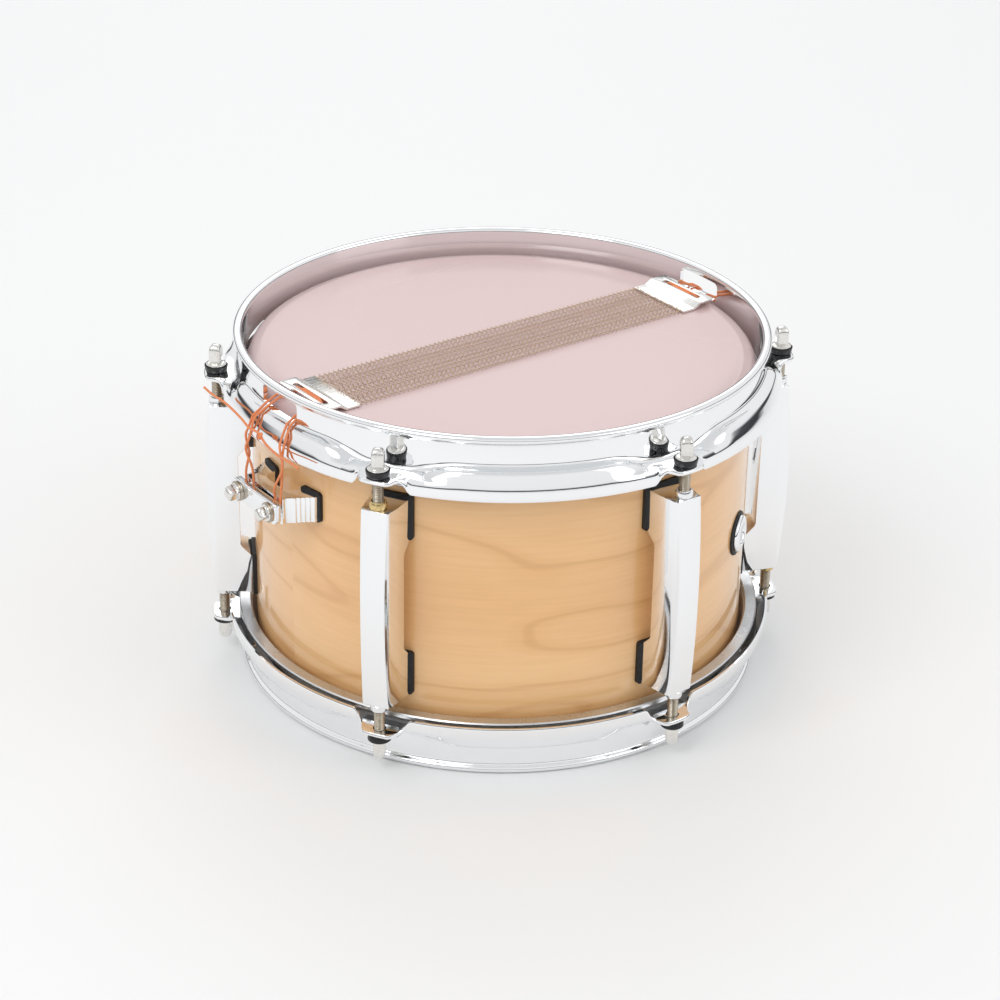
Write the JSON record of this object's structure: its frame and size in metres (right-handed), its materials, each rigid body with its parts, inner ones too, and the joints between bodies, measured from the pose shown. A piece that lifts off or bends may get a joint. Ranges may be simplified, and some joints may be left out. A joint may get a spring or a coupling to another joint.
{
  "type": "snare drum",
  "caption": "Small maple snare drum standing snare side up, with chrome hoops, tube lugs, tension rods, coiled snare wires and a throw-off.",
  "frame": {"origin": "on the drum's axis, in the plane of the batter rim that the drum rests on", "axes": "+Z along the drum's axis towards the snare side, +X along the snare wires towards the throw-off"},
  "size_m": [0.307, 0.296, 0.1788],
  "materials": {
    "maple": "gloss lacquered maple",
    "film": "thin hazy film",
    "aluminium": "brushed",
    "chrome": "mirror chrome",
    "steel": "worn plated steel",
    "nylon": "satin nylon",
    "rubber": "matte",
    "plated_steel": "bright plate",
    "wire": "bronze-toned wire",
    "cord": "braided nylon"
  },
  "bodies": {
    "drum": {"shell": "maple", "snare_head_film": "film", "batter_head_film": "film", "snare_flesh_hoop": "aluminium", "batter_flesh_hoop": "aluminium", "snare_side_hoop": "chrome", "batter_side_hoop": "chrome", "lug_1": "chrome", "lug_2": "chrome", "lug_3": "chrome", "lug_4": "chrome", "lug_5": "chrome", "lug_6": "chrome", "snare_side_washer_1": "nylon", "snare_side_washer_2": "nylon", "snare_side_washer_3": "nylon", "snare_side_washer_4": "nylon", "snare_side_washer_5": "nylon", "snare_side_washer_6": "nylon", "batter_side_washer_1": "nylon", "batter_side_washer_2": "nylon", "batter_side_washer_3": "nylon", "batter_side_washer_4": "nylon", "batter_side_washer_5": "nylon", "batter_side_washer_6": "nylon", "air_vent": "chrome", "air_vent_gasket": "rubber", "butt_gasket": "rubber", "butt_base": "chrome", "butt_clamp_plate": "chrome", "butt_screw_1": "steel", "butt_screw_2": "steel", "strainer_gasket": "rubber", "strainer_base": "chrome", "snare_end_plate_butt": "plated_steel", "snare_end_plate_strainer": "plated_steel", "snare_wires": "wire", "butt_cord_1": "cord", "butt_cord_2": "cord", "butt_cord_tail": "cord", "strainer_cord_1": "cord", "strainer_cord_2": "cord"},
    "snare_tension_rod_1": {"snare_side_rod_1": "steel"},
    "snare_tension_rod_2": {"snare_side_rod_2": "steel"},
    "snare_tension_rod_3": {"snare_side_rod_3": "steel"},
    "snare_tension_rod_4": {"snare_side_rod_4": "steel"},
    "snare_tension_rod_5": {"snare_side_rod_5": "steel"},
    "snare_tension_rod_6": {"snare_side_rod_6": "steel"},
    "batter_tension_rod_1": {"batter_side_rod_1": "steel"},
    "batter_tension_rod_2": {"batter_side_rod_2": "steel"},
    "batter_tension_rod_3": {"batter_side_rod_3": "steel"},
    "batter_tension_rod_4": {"batter_side_rod_4": "steel"},
    "batter_tension_rod_5": {"batter_side_rod_5": "steel"},
    "batter_tension_rod_6": {"batter_side_rod_6": "steel"},
    "throw_off_lever": {"strainer_lever": "chrome"},
    "throw_off_carriage": {"strainer_carriage": "chrome", "strainer_clamp_plate": "chrome", "strainer_screw_1": "steel", "strainer_screw_2": "steel"},
    "fine_tension_knob": {"tension_knob": "chrome"}
  },
  "joints": [
    {"name": "lever_swing", "type": "hinge", "parent": "drum", "child": "throw_off_lever", "pos_m": [0.1412, 0, 0.103], "axis": [1, 0, 0], "range_deg": [0, 90]},
    {"name": "carriage_lift", "type": "slide", "parent": "drum", "child": "throw_off_carriage", "axis": [0, 0, 1], "range_m": [0, 0.006], "deforming": ["strainer_cord_1", "strainer_cord_2"]},
    {"name": "knob_turn", "type": "hinge", "parent": "throw_off_carriage", "child": "fine_tension_knob", "pos_m": [0.1365, 0, 0.082], "axis": [0, 0, 1], "continuous": true},
    {"name": "snare_rod_1_turn", "type": "hinge", "parent": "drum", "child": "snare_tension_rod_1", "pos_m": [0.12298, 0.071, 0.1609], "axis": [0, 0, 1], "continuous": true},
    {"name": "snare_rod_2_turn", "type": "hinge", "parent": "drum", "child": "snare_tension_rod_2", "pos_m": [0, 0.142, 0.1609], "axis": [0, 0, 1], "continuous": true},
    {"name": "snare_rod_3_turn", "type": "hinge", "parent": "drum", "child": "snare_tension_rod_3", "pos_m": [-0.12298, 0.071, 0.1609], "axis": [0, 0, 1], "continuous": true},
    {"name": "snare_rod_4_turn", "type": "hinge", "parent": "drum", "child": "snare_tension_rod_4", "pos_m": [-0.12298, -0.071, 0.1609], "axis": [0, 0, 1], "continuous": true},
    {"name": "snare_rod_5_turn", "type": "hinge", "parent": "drum", "child": "snare_tension_rod_5", "pos_m": [0, -0.142, 0.1609], "axis": [0, 0, 1], "continuous": true},
    {"name": "snare_rod_6_turn", "type": "hinge", "parent": "drum", "child": "snare_tension_rod_6", "pos_m": [0.12298, -0.071, 0.1609], "axis": [0, 0, 1], "continuous": true},
    {"name": "batter_rod_1_turn", "type": "hinge", "parent": "drum", "child": "batter_tension_rod_1", "pos_m": [0.12298, 0.071, 0.0179], "axis": [0, 0, 1], "continuous": true},
    {"name": "batter_rod_2_turn", "type": "hinge", "parent": "drum", "child": "batter_tension_rod_2", "pos_m": [0, 0.142, 0.0179], "axis": [0, 0, 1], "continuous": true},
    {"name": "batter_rod_3_turn", "type": "hinge", "parent": "drum", "child": "batter_tension_rod_3", "pos_m": [-0.12298, 0.071, 0.0179], "axis": [0, 0, 1], "continuous": true},
    {"name": "batter_rod_4_turn", "type": "hinge", "parent": "drum", "child": "batter_tension_rod_4", "pos_m": [-0.12298, -0.071, 0.0179], "axis": [0, 0, 1], "continuous": true},
    {"name": "batter_rod_5_turn", "type": "hinge", "parent": "drum", "child": "batter_tension_rod_5", "pos_m": [0, -0.142, 0.0179], "axis": [0, 0, 1], "continuous": true},
    {"name": "batter_rod_6_turn", "type": "hinge", "parent": "drum", "child": "batter_tension_rod_6", "pos_m": [0.12298, -0.071, 0.0179], "axis": [0, 0, 1], "continuous": true}
  ],
  "couplings": [
    {"joint": "lever_swing", "follows": "carriage_lift", "rad_per_m": 261.79}
  ]
}
